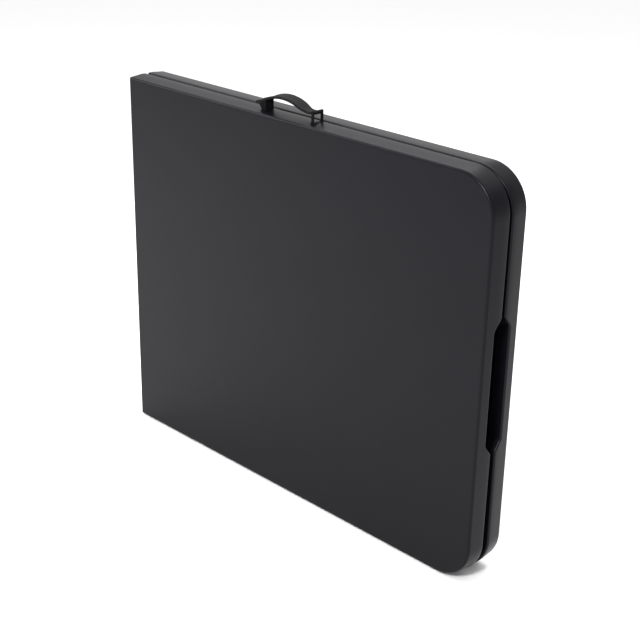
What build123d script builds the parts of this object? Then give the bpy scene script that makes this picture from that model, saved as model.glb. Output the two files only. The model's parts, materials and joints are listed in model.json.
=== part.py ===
from build123d import *
import os

# Fold-in-half table, shut and standing on a long edge like a suitcase.
# X runs from the centre hinge (-X) to the table's outer end (+X).
# Y runs through the thickness: the front leaf is at y < 0, the back leaf at y > 0.
# Z is up, with the origin under the middle of the folded table.
# All sizes are in millimetres.

# Leaves
FOLDED_LENGTH = 915.0
WIDTH = 745.0
LEAF_GAP = 5.0
LEAF_THICKNESS = 41.5
CORNER_RADIUS = 75.0
HINGE_AXIS_X = -453.0
LEAF_EDGE_X = HINGE_AXIS_X + 0.75
HINGE_OVERRUN = 10.0
LAND_DEPTH = 12.0
RIM_DRAFT_DEG = 5.5
TOP_EDGE_RADIUS = 8.0
LIP_RADIUS = 3.5
HINGE_EDGE_RADIUS = 2.0
RIM_WIDTH = 26.0
HINGE_RIM_WIDTH = 46.0
RECESS_DEPTH = 25.5
RECESS_HINGE_RADIUS = 12.0
SKIN = 2.5
RIM_VOID_START = 9.5
RIM_VOID_INSET = 4.5
PLATE_VOID_INSET = 7.5

# Finger notch in the outer end
NOTCH_CENTRE_Z = 376.0
NOTCH_MOUTH_HALF = 128.0
NOTCH_FLOOR_HALF = 104.0
NOTCH_DEPTH = 17.5
NOTCH_RADIUS = 8.0
NOTCH_OVERRUN = 10.0

# Centre hinges
HINGE_HEIGHTS = (110.0, 372.5, 635.0)
HINGE_LENGTH = 90.0
HINGE_PLATE = 2.0
HINGE_PLATE_REACH = 28.0
KNUCKLE_RADIUS = 4.5
KNUCKLE_GAP = 0.5
KNUCKLE_RELIEF = 5.5
KNUCKLE_END_ROOM = 1.0
HINGE_PIN_RADIUS = 2.0
HINGE_SCREW_REACH = 17.4
HINGE_SCREW_SINK = 1.0
HINGE_SCREW_LENGTH = 5.0
RUNNING = 0.05

# Locating studs and rubber pads on the rims
STUD_X = 399.0
STUD_RADIUS = 5.0
STUD_REACH = 8.5
STUD_CHAMFER = 1.0
SOCKET_RADIUS = 5.6
SOCKET_DEPTH = 4.5
PAD_RADIUS = 6.0
PAD_X = 340.0
PAD_CLEARANCE = 0.2

# Legs, measured along a leg from its pivot (s) and out from mid-width
PIVOT_X = 382.5
PIVOT_DEPTH = 14.0
TUBE_OFFSET = 285.0
TUBE_RADIUS = 11.0
TUBE_WALL = 1.5
TUBE_LENGTH = 365.0
TUBE_BORE_START = 14.0
PIVOT_BAR_HALF = 330.0
CROSSBAR_S = 150.0
BAR_RADIUS = 9.0
INNER_RADIUS = TUBE_RADIUS - TUBE_WALL - 0.08
INNER_WALL = 1.2
INNER_START = 18.0
INNER_END = 404.0
FOOT_BAR_S = 386.0
CAP_START = 396.0
LEG_LENGTH = 410.0
CAP_RADIUS = 13.0
CAP_ROUND = 3.0
SLEEVE_START = 325.0
SLEEVE_END = 373.0
SLEEVE_RADIUS = 13.3
SLEEVE_ROUND = 1.5
SLEEVE_FLUTES = 10
FLUTE_RADIUS = 1.6
FLUTE_CENTRE_RADIUS = 13.94
FLUTE_END_MARGIN = 6.0

# Folding stays outside the leg tubes
STAY_PIVOT_S = 350.0
STAY_LEG_S = 200.0
STAY_UPPER_LENGTH = 276.56
STAY_LOWER_LENGTH = 126.56
STAY_WIDTH = 13.0
STAY_THICKNESS = 3.0
STAY_LOWER_OFFSET = 298.0
STAY_UPPER_OFFSET = 302.0
EAR_OFFSET = 306.0
EAR_LENGTH = 24.0
EAR_RISE = 8.0
EAR_ROUND = 7.0
EAR_FOOT_WIDTH = 18.0
EAR_FOOT_THICKNESS = 2.0
EAR_SCREW_STEP = 7.0
EAR_SCREW_OFFSET = 13.0
EAR_SCREW_BITE = 2.5
STAY_PIN_RADIUS = 3.0
UPPER_PIN_LENGTH = 6.0
PIN_COLLAR_RADIUS = 5.0
PIN_COLLAR = 1.0
TUBE_BOSS_RADIUS = 5.0
TUBE_BOSS = 1.8
TUBE_BOSS_SINK = 0.1
STAY_STUD_LENGTH = 3.9
RIVET_RADIUS = 5.0
RIVET_HEIGHT = 1.8
RIVET_ROUND = 0.8

# Pivot blocks and side rails
BLOCK_OFFSET = 312.0
BLOCK_LENGTH = 20.0
BLOCK_WIDTH = 34.0
BLOCK_FACE_DEPTH = 2.5
BLOCK_ROUND = 10.0
RAIL_WIDTH = 12.0
RAIL_FACE_DEPTH = 4.0
RAIL_WALL = 1.5
RAIL_SCREW_BITE = 2.0
RAIL_START_X = -388.0
RAIL_END_X = 362.0
RAIL_SCREW_XS = (-380.0, -200.0, -20.0, 160.0, 340.0)

# Screws
SCREW_RADIUS = 1.9
SCREW_HEAD_RADIUS = 3.8
SCREW_HEAD_HEIGHT = 1.6

# Strap handle on the upper edge of the front leaf, as (x, z) points on the strap's centre line
STRAP_DEPTH = 18.0
STRAP_WIDTH = 26.0
STRAP_END_WIDTH = 20.0
STRAP_TAPER_X = (4.0, 26.0)
STRAP_THICKNESS = 5.0
STRAP_START = (-100.0, 757.0)
STRAP_RISE = (-82.0, 763.0)
STRAP_PEAK = (-32.0, 776.5)
STRAP_FALL = (10.0, 766.0)
STRAP_EYE = (43.0, 763.2)
EYE_RADIUS = 3.6
EYE_BAR_RADIUS = 1.6

# The strap's two mounts, let into the rim
SEAT_Z = 743.2
MOUNT_WIDTH = 25.0
MOUNT_CLEARANCE = 0.15
WEDGE_WIDTH = 20.0
WEDGE_BASE_X = (-88.0, -77.0)
WEDGE_TOP_LEFT = (-99.0, 757.0)
WEDGE_TOP_RIGHT = (-77.0, 764.5)
STAPLE_BASE_X = (38.0, 48.5)
MOUNT_BASE = 2.0
STAPLE_POST_X = (40.5, 46.0)
STAPLE_POST = 2.3
STAPLE_TOP_Z = 767.0
HANDLE_SCREW_ALONG = 13.0
HANDLE_SCREW_LENGTH = 9.0

MID_Z = WIDTH / 2
OUTER_X = FOLDED_LENGTH / 2
FACE_DEPTH = LEAF_GAP / 2
FLOOR_DEPTH = FACE_DEPTH + RECESS_DEPTH
TOP_DEPTH = FACE_DEPTH + LEAF_THICKNESS
SIDES = (-1, 1)

os.makedirs("parts", exist_ok=True)


def publish(piece, name):
    """Label a finished piece and write its STEP file."""
    piece.part.label = name
    export_step(piece.part, f"parts/{name}.step")


def leaf_plane(depth):
    """A plane parallel to the leaves, this deep into the front leaf."""
    return Plane.XZ.offset(depth)


def leg_x(s):
    """The X of a point this far along the folded front leg."""
    return PIVOT_X - s


def rounded_outline(depth, x_low, x_high, margin, hinge_radius):
    """A leaf outline at a depth, inset by a margin, with large corners at the outer end."""
    with BuildSketch(leaf_plane(depth)) as outline:
        with Locations(((x_low + x_high) / 2, MID_Z)):
            Rectangle(x_high - x_low, WIDTH - 2 * margin)
        corners = outline.vertices().group_by(Axis.X)
        fillet(corners[-1], CORNER_RADIUS - margin)
        if hinge_radius:
            fillet(outline.vertices().group_by(Axis.X)[0], hinge_radius)
    return outline.sketch


def notch_profile(growth):
    """The finger notch seen along X, grown on every side."""
    slope = (NOTCH_MOUTH_HALF - NOTCH_FLOOR_HALF) / NOTCH_DEPTH
    floor_y = -(FACE_DEPTH + NOTCH_DEPTH + growth)
    mouth_half = NOTCH_MOUTH_HALF + slope * (FACE_DEPTH + 1) + growth
    floor_half = NOTCH_FLOOR_HALF + growth
    with BuildSketch(Plane.YZ.offset(OUTER_X - RIM_WIDTH - 2 * growth - NOTCH_OVERRUN)) as profile:
        with BuildLine():
            Polyline(
                (1, NOTCH_CENTRE_Z - mouth_half),
                (floor_y, NOTCH_CENTRE_Z - floor_half),
                (floor_y, NOTCH_CENTRE_Z + floor_half),
                (1, NOTCH_CENTRE_Z + mouth_half),
                close=True,
            )
        make_face()
        fillet(profile.vertices().group_by(Axis.X)[0], NOTCH_RADIUS)
    return profile.sketch


def leaf_panel():
    """The blow-moulded leaf: flat top, drafted rim, leg recess, finger notch and sealed hollow."""
    with BuildPart() as hollow:
        extrude(
            rounded_outline(
                RIM_VOID_START, LEAF_EDGE_X + RIM_VOID_INSET, OUTER_X - RIM_VOID_INSET,
                RIM_VOID_INSET, RIM_VOID_INSET,
            ),
            amount=FLOOR_DEPTH + SKIN - RIM_VOID_START,
        )
        extrude(
            rounded_outline(
                RIM_VOID_START, LEAF_EDGE_X + HINGE_RIM_WIDTH - SKIN, OUTER_X - RIM_WIDTH + SKIN,
                RIM_WIDTH - SKIN, RECESS_HINGE_RADIUS + SKIN,
            ),
            amount=FLOOR_DEPTH + SKIN - RIM_VOID_START,
            mode=Mode.SUBTRACT,
        )
        extrude(
            rounded_outline(
                FLOOR_DEPTH + SKIN, LEAF_EDGE_X + PLATE_VOID_INSET, OUTER_X - PLATE_VOID_INSET,
                PLATE_VOID_INSET, PLATE_VOID_INSET,
            ),
            amount=TOP_DEPTH - FLOOR_DEPTH - 2 * SKIN,
        )
        extrude(notch_profile(SKIN), amount=RIM_WIDTH + 2 * NOTCH_OVERRUN, mode=Mode.SUBTRACT)

    with BuildPart() as panel:
        rim = rounded_outline(FACE_DEPTH, LEAF_EDGE_X - HINGE_OVERRUN, OUTER_X, 0, 0)
        extrude(rim, amount=LAND_DEPTH)
        drafted = rounded_outline(FACE_DEPTH + LAND_DEPTH, LEAF_EDGE_X - HINGE_OVERRUN, OUTER_X, 0, 0)
        extrude(drafted, amount=LEAF_THICKNESS - LAND_DEPTH, taper=RIM_DRAFT_DEG)
        split(bisect_by=Plane.YZ.offset(LEAF_EDGE_X), keep=Keep.TOP)
        top_edges = panel.faces().sort_by(Axis.Y)[0].edges()
        fillet(top_edges.sort_by(Axis.X)[1:], TOP_EDGE_RADIUS)
        lip_edges = panel.faces().sort_by(Axis.Y)[-1].edges()
        fillet(lip_edges.sort_by(Axis.X)[1:], LIP_RADIUS)
        hinge_top = panel.faces().sort_by(Axis.Y)[0].edges().sort_by(Axis.X)[0]
        fillet(hinge_top, HINGE_EDGE_RADIUS)
        extrude(
            rounded_outline(
                FACE_DEPTH, LEAF_EDGE_X + HINGE_RIM_WIDTH, OUTER_X - RIM_WIDTH,
                RIM_WIDTH, RECESS_HINGE_RADIUS,
            ),
            amount=RECESS_DEPTH,
            mode=Mode.SUBTRACT,
        )
        extrude(notch_profile(0), amount=RIM_WIDTH + 2 * NOTCH_OVERRUN, mode=Mode.SUBTRACT)
        add(hollow.part, mode=Mode.SUBTRACT)
        for height in HINGE_HEIGHTS:
            with Locations((HINGE_AXIS_X, 0, height)):
                Cylinder(KNUCKLE_RELIEF, HINGE_LENGTH + 2 * KNUCKLE_END_ROOM, mode=Mode.SUBTRACT)
            with Locations((HINGE_AXIS_X, -FACE_DEPTH, height)):
                Box(
                    HINGE_PLATE_REACH, HINGE_PLATE, HINGE_LENGTH,
                    align=(Align.MIN, Align.MAX, Align.CENTER), mode=Mode.SUBTRACT,
                )
    return panel.part


def across_leaf_screws(places, head_depth, length):
    """Pan-head screws driven into the front leaf from its underside, one at each (x, z)."""
    with BuildPart() as screws:
        for x, z in places:
            with BuildSketch(leaf_plane(head_depth - SCREW_HEAD_HEIGHT)):
                with Locations((x, z)):
                    Circle(SCREW_HEAD_RADIUS)
            extrude(amount=SCREW_HEAD_HEIGHT)
            with BuildSketch(leaf_plane(head_depth)):
                with Locations((x, z)):
                    Circle(SCREW_RADIUS)
            extrude(amount=length)
        fillet(screws.faces().group_by(Axis.Y)[-1].edges(), SCREW_HEAD_HEIGHT / 2)
    return screws


def hinge_leafs(knuckle_spans, bore):
    """Three butt-hinge plates on the front leaf, with knuckles at these spans of their length."""
    with BuildPart() as plates:
        for height in HINGE_HEIGHTS:
            base = height - HINGE_LENGTH / 2
            with Locations((HINGE_AXIS_X + KNUCKLE_RELIEF, -FACE_DEPTH, height)):
                Box(
                    HINGE_PLATE_REACH - KNUCKLE_RELIEF, HINGE_PLATE, HINGE_LENGTH,
                    align=(Align.MIN, Align.MAX, Align.CENTER),
                )
            for low, high in knuckle_spans:
                with Locations((HINGE_AXIS_X, 0, base + low)):
                    Cylinder(
                        KNUCKLE_RADIUS, high - low,
                        align=(Align.CENTER, Align.CENTER, Align.MIN),
                    )
                with Locations((HINGE_AXIS_X, -FACE_DEPTH, base + low)):
                    Box(
                        KNUCKLE_RELIEF, HINGE_PLATE, high - low,
                        align=(Align.MIN, Align.MAX, Align.MIN),
                    )
            with Locations((HINGE_AXIS_X, 0, height)):
                Cylinder(bore, HINGE_LENGTH, mode=Mode.SUBTRACT)
    return plates


# Front leaf panel
STRAP_Y = -STRAP_DEPTH
common_panel = leaf_panel()
with BuildPart() as front_panel:
    add(common_panel)
    for side in SIDES:
        with BuildSketch(leaf_plane(FACE_DEPTH)):
            with Locations((STUD_X, MID_Z + side * (MID_Z - RIM_WIDTH / 2))):
                Circle(SOCKET_RADIUS)
        extrude(amount=SOCKET_DEPTH, mode=Mode.SUBTRACT)
    for low, high in (WEDGE_BASE_X, STAPLE_BASE_X):
        with Locations(((low + high) / 2, STRAP_Y, SEAT_Z)):
            Box(
                high - low, MOUNT_WIDTH, 2 * (WIDTH - SEAT_Z),
                align=(Align.CENTER, Align.CENTER, Align.MIN), mode=Mode.SUBTRACT,
            )
publish(front_panel, "front_panel")

# Back leaf panel
with BuildPart() as back_panel:
    mirror(common_panel, about=Plane.XZ)
publish(back_panel, "back_panel")

# Centre hinges: two outer knuckles on the front leaf, one middle knuckle on the back leaf
third = HINGE_LENGTH / 3
outer_knuckles = ((0, third - KNUCKLE_GAP), (2 * third + KNUCKLE_GAP, HINGE_LENGTH))
front_hinge_plates = hinge_leafs(outer_knuckles, HINGE_PIN_RADIUS)
publish(front_hinge_plates, "front_hinge_plates")
back_plates_source = hinge_leafs(((third, 2 * third),), HINGE_PIN_RADIUS + RUNNING)
with BuildPart() as back_hinge_plates:
    mirror(back_plates_source.part, about=Plane.XZ)
publish(back_hinge_plates, "back_hinge_plates")

with BuildPart() as hinge_pins:
    for height in HINGE_HEIGHTS:
        with Locations((HINGE_AXIS_X, 0, height)):
            Cylinder(HINGE_PIN_RADIUS, HINGE_LENGTH)
publish(hinge_pins, "hinge_pins")

hinge_screw_places = [
    (HINGE_AXIS_X + HINGE_SCREW_REACH, height + step)
    for height in HINGE_HEIGHTS
    for step in (-third, 0, third)
]
hinge_screws = across_leaf_screws(hinge_screw_places, FACE_DEPTH + HINGE_SCREW_SINK, HINGE_SCREW_LENGTH)
publish(hinge_screws, "front_hinge_screws")
with BuildPart() as back_hinge_screws:
    mirror(hinge_screws.part, about=Plane.XZ)
publish(back_hinge_screws, "back_hinge_screws")

# Locating studs on the back rim and rubber pads on the front rim
with BuildPart() as locating_studs:
    for side in SIDES:
        with BuildSketch(leaf_plane(-FACE_DEPTH)):
            with Locations((STUD_X, MID_Z + side * (MID_Z - RIM_WIDTH / 2))):
                Circle(STUD_RADIUS)
        extrude(amount=STUD_REACH)
    chamfer(locating_studs.faces().group_by(Axis.Y)[0].edges(), STUD_CHAMFER)
publish(locating_studs, "locating_studs")

with BuildPart() as rim_pads:
    for side in SIDES:
        with BuildSketch(leaf_plane(FACE_DEPTH)):
            with Locations((PAD_X, MID_Z + side * (MID_Z - RIM_WIDTH / 2))):
                Circle(PAD_RADIUS)
        extrude(amount=-(LEAF_GAP - PAD_CLEARANCE))
publish(rim_pads, "rim_pads")

# Side rails: steel channels along both long sides of the recess
with BuildPart() as rails:
    rail_length = RAIL_END_X - RAIL_START_X
    rail_height = FLOOR_DEPTH - RAIL_FACE_DEPTH
    for side in SIDES:
        with Locations((RAIL_START_X, -FLOOR_DEPTH, MID_Z + side * (MID_Z - RIM_WIDTH - RAIL_WIDTH / 2))):
            Box(rail_length, rail_height, RAIL_WIDTH, align=(Align.MIN, Align.MIN, Align.CENTER))
        with Locations(
            (
                RAIL_START_X,
                -FLOOR_DEPTH + RAIL_WALL,
                MID_Z + side * (MID_Z - RIM_WIDTH - RAIL_WIDTH / 2 - RAIL_WALL),
            )
        ):
            Box(
                rail_length, rail_height - 2 * RAIL_WALL, RAIL_WIDTH,
                align=(Align.MIN, Align.MIN, Align.CENTER), mode=Mode.SUBTRACT,
            )

rail_screw_places = [
    (x, MID_Z + side * (MID_Z - RIM_WIDTH - RAIL_WIDTH / 2 - RAIL_WALL / 2))
    for x in RAIL_SCREW_XS
    for side in SIDES
]
rail_screws = across_leaf_screws(rail_screw_places, FLOOR_DEPTH - RAIL_WALL, RAIL_WALL + RAIL_SCREW_BITE)

# Pivot blocks that carry the leg's pivot bar
with BuildPart() as pivot_blocks:
    for side in SIDES:
        block_z = MID_Z + side * (BLOCK_OFFSET + BLOCK_LENGTH / 2)
        with BuildSketch(Plane.XY.offset(block_z)) as block_profile:
            with Locations((PIVOT_X, -FLOOR_DEPTH)):
                Rectangle(BLOCK_WIDTH, FLOOR_DEPTH - BLOCK_FACE_DEPTH, align=(Align.CENTER, Align.MIN))
            fillet(block_profile.vertices().group_by(Axis.Y)[-1], BLOCK_ROUND)
            with Locations((PIVOT_X, -PIVOT_DEPTH)):
                Circle(TUBE_RADIUS + RUNNING, mode=Mode.SUBTRACT)
        extrude(amount=BLOCK_LENGTH / 2, both=True)

# Stay brackets: an ear and a foot on the recess floor, with the stay's upper pin
stay_pivot_x = leg_x(STAY_PIVOT_S)
with BuildPart() as stay_brackets:
    for side in SIDES:
        ear_z = MID_Z + side * (EAR_OFFSET + STAY_THICKNESS / 2)
        with BuildSketch(Plane.XY.offset(ear_z)) as ear_profile:
            with Locations((stay_pivot_x, -FLOOR_DEPTH)):
                Rectangle(
                    EAR_LENGTH, FLOOR_DEPTH - PIVOT_DEPTH + EAR_RISE, align=(Align.CENTER, Align.MIN)
                )
            fillet(ear_profile.vertices().group_by(Axis.Y)[-1], EAR_ROUND)
        extrude(amount=STAY_THICKNESS / 2, both=True)
        with Locations((stay_pivot_x, -FLOOR_DEPTH, MID_Z + side * (EAR_OFFSET + EAR_FOOT_WIDTH / 2))):
            Box(
                EAR_LENGTH, EAR_FOOT_THICKNESS, EAR_FOOT_WIDTH,
                align=(Align.CENTER, Align.MIN, Align.CENTER),
            )
        pin_end = EAR_OFFSET + PIN_COLLAR
        with Locations((stay_pivot_x, -PIVOT_DEPTH, MID_Z + side * (pin_end - UPPER_PIN_LENGTH / 2))):
            Cylinder(STAY_PIN_RADIUS, UPPER_PIN_LENGTH)
        collar_offset = STAY_UPPER_OFFSET - PIN_COLLAR
        with Locations((stay_pivot_x, -PIVOT_DEPTH, MID_Z + side * collar_offset)):
            Cylinder(PIN_COLLAR_RADIUS, PIN_COLLAR)

bracket_screw_places = [
    (stay_pivot_x + step, MID_Z + side * (EAR_OFFSET + EAR_SCREW_OFFSET))
    for side in SIDES
    for step in (-EAR_SCREW_STEP, EAR_SCREW_STEP)
]
bracket_screws = across_leaf_screws(
    bracket_screw_places, FLOOR_DEPTH - EAR_FOOT_THICKNESS, EAR_FOOT_THICKNESS + EAR_SCREW_BITE
)

# Leg frame: two tubes, a pivot bar and a crossbar, welded, with a stud for each lower stay
with BuildPart() as leg_frame:
    for side in SIDES:
        tube_z = MID_Z + side * TUBE_OFFSET
        with Locations(Location((PIVOT_X, -PIVOT_DEPTH, tube_z), (0, -90, 0))):
            Cylinder(TUBE_RADIUS, TUBE_LENGTH, align=(Align.CENTER, Align.CENTER, Align.MIN))
        boss_offset = TUBE_OFFSET + TUBE_RADIUS + TUBE_BOSS / 2 - TUBE_BOSS_SINK
        with Locations((leg_x(STAY_LEG_S), -PIVOT_DEPTH, MID_Z + side * boss_offset)):
            Cylinder(TUBE_BOSS_RADIUS, TUBE_BOSS)
    with Locations((PIVOT_X, -PIVOT_DEPTH, MID_Z)):
        Cylinder(TUBE_RADIUS, 2 * PIVOT_BAR_HALF)
        Cylinder(TUBE_RADIUS - TUBE_WALL, 2 * PIVOT_BAR_HALF - 2 * TUBE_WALL, mode=Mode.SUBTRACT)
    with Locations((leg_x(CROSSBAR_S), -PIVOT_DEPTH, MID_Z)):
        Cylinder(BAR_RADIUS, 2 * TUBE_OFFSET)
        Cylinder(BAR_RADIUS - TUBE_WALL, 2 * TUBE_OFFSET - 2 * TUBE_RADIUS, mode=Mode.SUBTRACT)
    for side in SIDES:
        tube_z = MID_Z + side * TUBE_OFFSET
        with Locations(Location((leg_x(TUBE_BORE_START), -PIVOT_DEPTH, tube_z), (0, -90, 0))):
            Cylinder(
                TUBE_RADIUS - TUBE_WALL, TUBE_LENGTH,
                align=(Align.CENTER, Align.CENTER, Align.MIN), mode=Mode.SUBTRACT,
            )

# Stay studs on the leg tubes
stud_start = TUBE_OFFSET + TUBE_RADIUS + TUBE_BOSS - TUBE_BOSS_SINK
with BuildPart() as stay_studs:
    for side in SIDES:
        stud_middle = stud_start + STAY_STUD_LENGTH / 2
        with Locations((leg_x(STAY_LEG_S), -PIVOT_DEPTH, MID_Z + side * stud_middle)):
            Cylinder(STAY_PIN_RADIUS, STAY_STUD_LENGTH)

# Sliding foot frame: two inner tubes joined by a foot bar
with BuildPart() as foot_frame:
    for side in SIDES:
        with Locations(
            Location((leg_x(INNER_START), -PIVOT_DEPTH, MID_Z + side * TUBE_OFFSET), (0, -90, 0))
        ):
            Cylinder(INNER_RADIUS, INNER_END - INNER_START, align=(Align.CENTER, Align.CENTER, Align.MIN))
    with Locations((leg_x(FOOT_BAR_S), -PIVOT_DEPTH, MID_Z)):
        Cylinder(BAR_RADIUS, 2 * TUBE_OFFSET)
        Cylinder(BAR_RADIUS - TUBE_WALL, 2 * TUBE_OFFSET - 2 * INNER_RADIUS, mode=Mode.SUBTRACT)
    for side in SIDES:
        with Locations(
            Location((leg_x(INNER_START), -PIVOT_DEPTH, MID_Z + side * TUBE_OFFSET), (0, -90, 0))
        ):
            Cylinder(
                INNER_RADIUS - INNER_WALL, INNER_END - INNER_START,
                align=(Align.CENTER, Align.CENTER, Align.MIN), mode=Mode.SUBTRACT,
            )

# Foot caps on the inner tube ends
with BuildPart() as foot_caps:
    for side in SIDES:
        with Locations(
            Location((leg_x(CAP_START), -PIVOT_DEPTH, MID_Z + side * TUBE_OFFSET), (0, -90, 0))
        ):
            Cylinder(CAP_RADIUS, LEG_LENGTH - CAP_START, align=(Align.CENTER, Align.CENTER, Align.MIN))
    fillet(foot_caps.faces().group_by(Axis.X)[0].edges(), CAP_ROUND)
    for side in SIDES:
        with Locations(
            Location((leg_x(CAP_START), -PIVOT_DEPTH, MID_Z + side * TUBE_OFFSET), (0, -90, 0))
        ):
            Cylinder(
                INNER_RADIUS, INNER_END - CAP_START,
                align=(Align.CENTER, Align.CENTER, Align.MIN), mode=Mode.SUBTRACT,
            )


def lock_sleeve(side):
    """A fluted twist-lock sleeve over the end of one outer leg tube."""
    tube_z = MID_Z + side * TUBE_OFFSET
    along_leg = Plane(origin=(leg_x(SLEEVE_START), -PIVOT_DEPTH, tube_z), x_dir=(0, 1, 0), z_dir=(-1, 0, 0))
    with BuildPart() as sleeve:
        with BuildSketch(along_leg):
            Circle(SLEEVE_RADIUS)
        extrude(amount=SLEEVE_END - SLEEVE_START)
        fillet(sleeve.edges(), SLEEVE_ROUND)
        with BuildSketch(along_leg):
            Circle(TUBE_RADIUS + RUNNING)
        extrude(amount=TUBE_LENGTH - SLEEVE_START, mode=Mode.SUBTRACT)
        with BuildSketch(along_leg):
            Circle(INNER_RADIUS + RUNNING)
        extrude(amount=SLEEVE_END - SLEEVE_START, mode=Mode.SUBTRACT)
        with BuildSketch(along_leg.offset(FLUTE_END_MARGIN)):
            with PolarLocations(FLUTE_CENTRE_RADIUS, SLEEVE_FLUTES):
                Circle(FLUTE_RADIUS)
        extrude(amount=SLEEVE_END - SLEEVE_START - 2 * FLUTE_END_MARGIN, mode=Mode.SUBTRACT)
    return sleeve


def stay_link(s_low, length, offset, holes):
    """A flat stay link on each side of the leg, with round ends and pin holes at these distances."""
    with BuildPart() as link:
        for side in SIDES:
            with BuildSketch(Plane.XY.offset(MID_Z + side * (offset + STAY_THICKNESS / 2))):
                with Locations((leg_x(s_low + length / 2), -PIVOT_DEPTH)):
                    SlotCenterToCenter(length, STAY_WIDTH)
                with Locations(*[(leg_x(s), -PIVOT_DEPTH) for s in holes]):
                    Circle(STAY_PIN_RADIUS + RUNNING, mode=Mode.SUBTRACT)
            extrude(amount=STAY_THICKNESS / 2, both=True)
    return link


knee_s = STAY_PIVOT_S - STAY_UPPER_LENGTH
stay_upper = stay_link(knee_s, STAY_UPPER_LENGTH, STAY_UPPER_OFFSET, [STAY_PIVOT_S])
stay_lower = stay_link(knee_s, STAY_LOWER_LENGTH, STAY_LOWER_OFFSET, [STAY_LEG_S])

# Knee rivets: a domed head on the outer face of each upper link
rivet_offset = STAY_UPPER_OFFSET + STAY_THICKNESS + RIVET_HEIGHT / 2
with BuildPart() as knee_rivets:
    for side in SIDES:
        with Locations((leg_x(knee_s), -PIVOT_DEPTH, MID_Z + side * rivet_offset)):
            Cylinder(RIVET_RADIUS, RIVET_HEIGHT)
    fillet(knee_rivets.faces().group_by(Axis.Z)[0].edges(), RIVET_ROUND)
    fillet(knee_rivets.faces().group_by(Axis.Z)[-1].edges(), RIVET_ROUND)

# Everything that both leaves carry alike, with the back leaf's copy mirrored
paired_pieces = {
    "rails": rails,
    "rail_screws": rail_screws,
    "pivot_blocks": pivot_blocks,
    "stay_brackets": stay_brackets,
    "stay_bracket_screws": bracket_screws,
    "leg_frame": leg_frame,
    "stay_studs": stay_studs,
    "foot_frame": foot_frame,
    "foot_caps": foot_caps,
    "lock_sleeve_low": lock_sleeve(-1),
    "lock_sleeve_high": lock_sleeve(1),
    "stay_upper": stay_upper,
    "stay_lower": stay_lower,
    "knee_rivets": knee_rivets,
}
for piece_name, piece in paired_pieces.items():
    publish(piece, f"front_{piece_name}")
    with BuildPart() as mirrored:
        mirror(piece.part, about=Plane.XZ)
    publish(mirrored, f"back_{piece_name}")


def strap_profile(growth):
    """The strap seen along Y: a long arch that ends in an eye, grown on every side."""
    with BuildSketch(leaf_plane(STRAP_DEPTH)) as profile:
        with BuildLine():
            Line(STRAP_START, STRAP_RISE)
            arch = ThreePointArc(STRAP_RISE, STRAP_PEAK, STRAP_FALL)
            TangentArc(arch @ 1, STRAP_EYE, tangent=arch % 1)
            offset(amount=STRAP_THICKNESS / 2 + growth, side=Side.BOTH)
        make_face()
        with Locations(STRAP_EYE):
            Circle(EYE_RADIUS + growth)
    return profile.sketch


def handle_screw_hole(growth):
    """The shank of the screw that holds the strap to its wedge, grown in radius."""
    with BuildPart() as shank:
        with Locations(handle_screw_axis):
            Cylinder(
                SCREW_RADIUS + growth, HANDLE_SCREW_LENGTH,
                align=(Align.CENTER, Align.CENTER, Align.MAX),
            )
    return shank.part


# Screw through the strap into its wedge
along_strap = (Vector(STRAP_RISE) - Vector(STRAP_START)).normalized()
screw_spot = Vector(STRAP_START) + along_strap * HANDLE_SCREW_ALONG
screw_spot += Vector(-along_strap.Y, along_strap.X) * STRAP_THICKNESS / 2
handle_screw_plane = Plane(
    origin=(screw_spot.X, STRAP_Y, screw_spot.Y), x_dir=(0, 1, 0), z_dir=(-along_strap.Y, 0, along_strap.X)
)
handle_screw_axis = handle_screw_plane.location
with BuildPart() as handle_screw:
    add(handle_screw_hole(0))
    with Locations(handle_screw_axis):
        Cylinder(
            SCREW_HEAD_RADIUS, SCREW_HEAD_HEIGHT, align=(Align.CENTER, Align.CENTER, Align.MIN)
        )
    rim_edge = handle_screw.edges().filter_by(GeomType.CIRCLE).sort_by(Axis.Z)[-1]
    fillet(rim_edge, SCREW_HEAD_HEIGHT / 2)
publish(handle_screw, "handle_screw")

# Carry strap: screwed to a wedge at one end, with an eye on a staple at the other
with BuildPart() as handle_strap:
    extrude(strap_profile(0), amount=STRAP_WIDTH / 2, both=True)
    strap_box = handle_strap.part.bounding_box()
    with BuildSketch(Plane.XY.offset(SEAT_Z)):
        with BuildLine():
            Polyline(
                (strap_box.min.X, STRAP_Y - STRAP_WIDTH / 2),
                (STRAP_TAPER_X[0], STRAP_Y - STRAP_WIDTH / 2),
                (STRAP_TAPER_X[1], STRAP_Y - STRAP_END_WIDTH / 2),
                (strap_box.max.X, STRAP_Y - STRAP_END_WIDTH / 2),
                (strap_box.max.X, STRAP_Y + STRAP_END_WIDTH / 2),
                (STRAP_TAPER_X[1], STRAP_Y + STRAP_END_WIDTH / 2),
                (STRAP_TAPER_X[0], STRAP_Y + STRAP_WIDTH / 2),
                (strap_box.min.X, STRAP_Y + STRAP_WIDTH / 2),
                close=True,
            )
        make_face()
    extrude(amount=strap_box.max.Z - SEAT_Z, mode=Mode.INTERSECT)
    with BuildSketch(leaf_plane(STRAP_DEPTH)):
        with Locations(STRAP_EYE):
            Circle(EYE_BAR_RADIUS + RUNNING)
    extrude(amount=STRAP_WIDTH / 2, both=True, mode=Mode.SUBTRACT)
    add(handle_screw_hole(RUNNING), mode=Mode.SUBTRACT)
publish(handle_strap, "handle_strap")

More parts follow.
